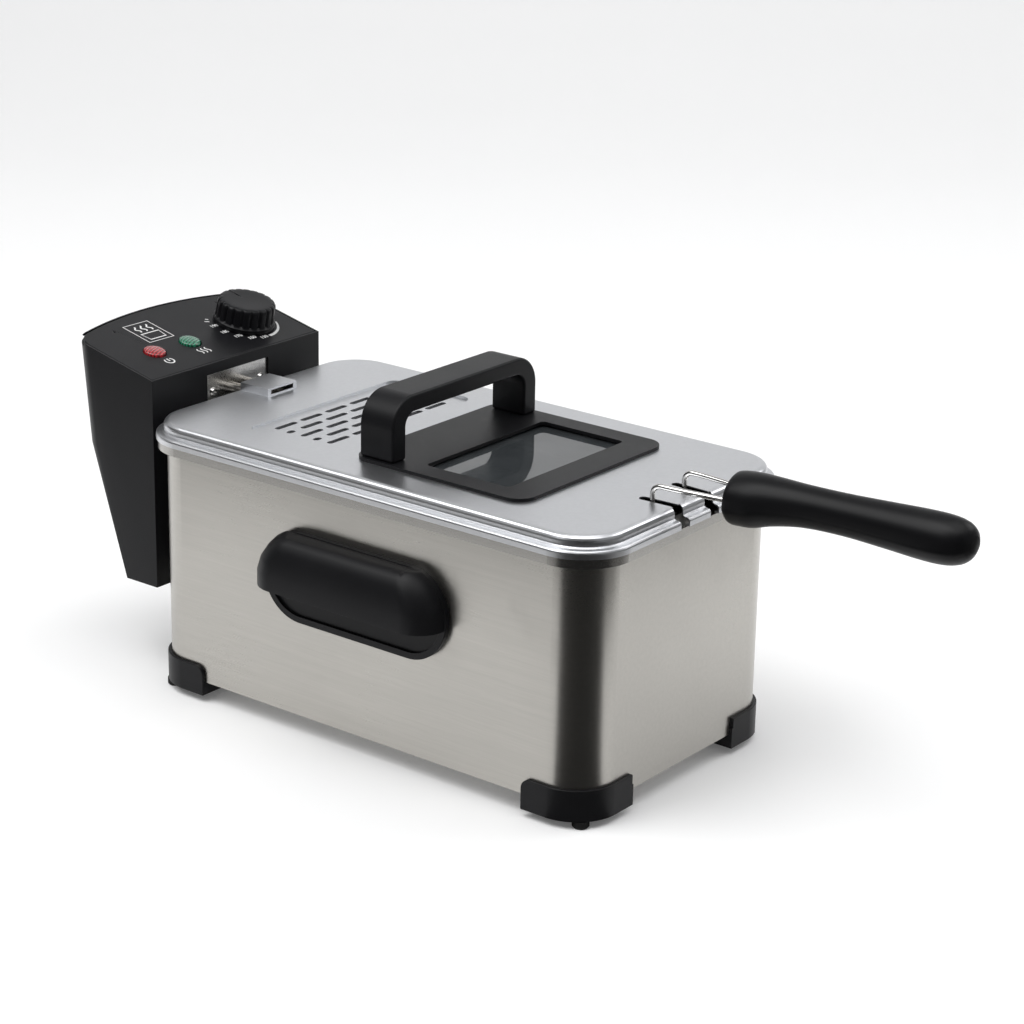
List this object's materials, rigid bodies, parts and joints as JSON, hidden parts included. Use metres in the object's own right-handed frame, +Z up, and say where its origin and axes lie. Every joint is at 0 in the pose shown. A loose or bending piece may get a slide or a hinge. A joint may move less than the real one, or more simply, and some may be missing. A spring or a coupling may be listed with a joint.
{
  "type": "deep fryer",
  "caption": "Countertop deep fryer: steel casing with lift-out tank, lift-off control head with element, wire basket on a long grip, steel lid with window, grille and handle.",
  "frame": {"origin": "on the worktop, under the middle of the whole object's bounding box", "axes": "+X towards the tip of the basket grip, +Z up, the control head is at -X"},
  "size_m": [0.5994, 0.229, 0.2161],
  "materials": {
    "brushed_steel": "brushed along its length",
    "lid_steel": "fine satin",
    "plain_steel": "satin",
    "tank_steel": "satin, polished rim",
    "screw_steel": "bright",
    "basket_wire": "bright plated wire",
    "element_tube": "dark, heat tinted",
    "copper_tube": "bright copper",
    "charcoal_plastic": "fine spark texture",
    "panel_plastic": "fine texture",
    "grip_plastic": "smooth satin",
    "knob_plastic": "satin",
    "switch_plastic": "plain",
    "cream_plastic": "plain",
    "button_plastic": "smooth",
    "pad_rubber": "matte",
    "seal_rubber": "matte",
    "filter_wool": "knitted metal mesh",
    "red_lens": "translucent, ribbed",
    "green_lens": "translucent, ribbed",
    "window_glass": "clear, slightly tinted"
  },
  "bodies": {
    "casing": {"casing_shell": "brushed_steel", "base_plate": "plain_steel", "foot_front_left": "charcoal_plastic", "foot_front_right": "charcoal_plastic", "foot_rear_left": "charcoal_plastic", "foot_rear_right": "charcoal_plastic", "rubber_pads": "pad_rubber", "carry_plate_left": "charcoal_plastic", "carry_plate_right": "charcoal_plastic", "carry_hood_left": "charcoal_plastic", "carry_hood_right": "charcoal_plastic", "carry_handle_screws": "screw_steel", "head_guide": "plain_steel"},
    "tank": {"oil_tank": "tank_steel"},
    "head": {"head_housing": "charcoal_plastic", "control_panel": "panel_plastic", "thermostat_body": "cream_plastic", "thermostat_bulb": "copper_tube", "lens_red": "red_lens", "lens_green": "green_lens", "lamp_bodies": "cream_plastic", "safety_switch": "switch_plastic", "terminal_block": "cream_plastic", "bracket_plate": "brushed_steel", "bracket_screws": "screw_steel", "heating_element": "element_tube", "element_guard": "plain_steel", "cord_gland": "pad_rubber", "housing_screws": "screw_steel"},
    "knob": {"knob": "knob_plastic", "knob_shaft": "screw_steel"},
    "reset_button": {"reset_button": "button_plastic"},
    "switch_plunger": {"switch_plunger": "button_plastic"},
    "basket": {"basket_cage": "basket_wire", "basket_rim": "basket_wire", "basket_bracket": "basket_wire", "drain_hook": "basket_wire", "handle_wires": "basket_wire", "basket_grip": "grip_plastic"},
    "lid": {"lid_shell": "lid_steel", "filter_mesh": "filter_wool", "filter_retainer": "plain_steel", "window_glass": "window_glass", "window_gasket": "seal_rubber", "window_retainer": "plain_steel", "window_frame": "charcoal_plastic", "window_screws": "screw_steel", "lid_handle": "charcoal_plastic", "lid_handle_screws": "screw_steel"}
  },
  "joints": [
    {"name": "tank_lift", "type": "slide", "parent": "casing", "child": "tank", "axis": [0, 0, 1], "range_m": [0, 0.15]},
    {"name": "head_lift", "type": "slide", "parent": "tank", "child": "head", "axis": [0, 0, 1], "range_m": [0, 0.15]},
    {"name": "basket_lift", "type": "slide", "parent": "head", "child": "basket", "axis": [0, 0, 1], "range_m": [0, 0.13]},
    {"name": "lid_lift", "type": "slide", "parent": "basket", "child": "lid", "axis": [0, 0, 1], "range_m": [0, 0.14]},
    {"name": "knob_turn", "type": "hinge", "parent": "head", "child": "knob", "pos_m": [-0.25446, 0.04, 0.19625], "axis": [-0.2164, 0, -0.9763], "range_deg": [0, 300]},
    {"name": "reset_press", "type": "slide", "parent": "head", "child": "reset_button", "axis": [1, 0, 0], "range_m": [0, 0.002], "stiffness_N_per_m": 400},
    {"name": "plunger_press", "type": "slide", "parent": "head", "child": "switch_plunger", "axis": [0, 0, 1], "range_m": [0, 0.002], "stiffness_N_per_m": 300}
  ]
}
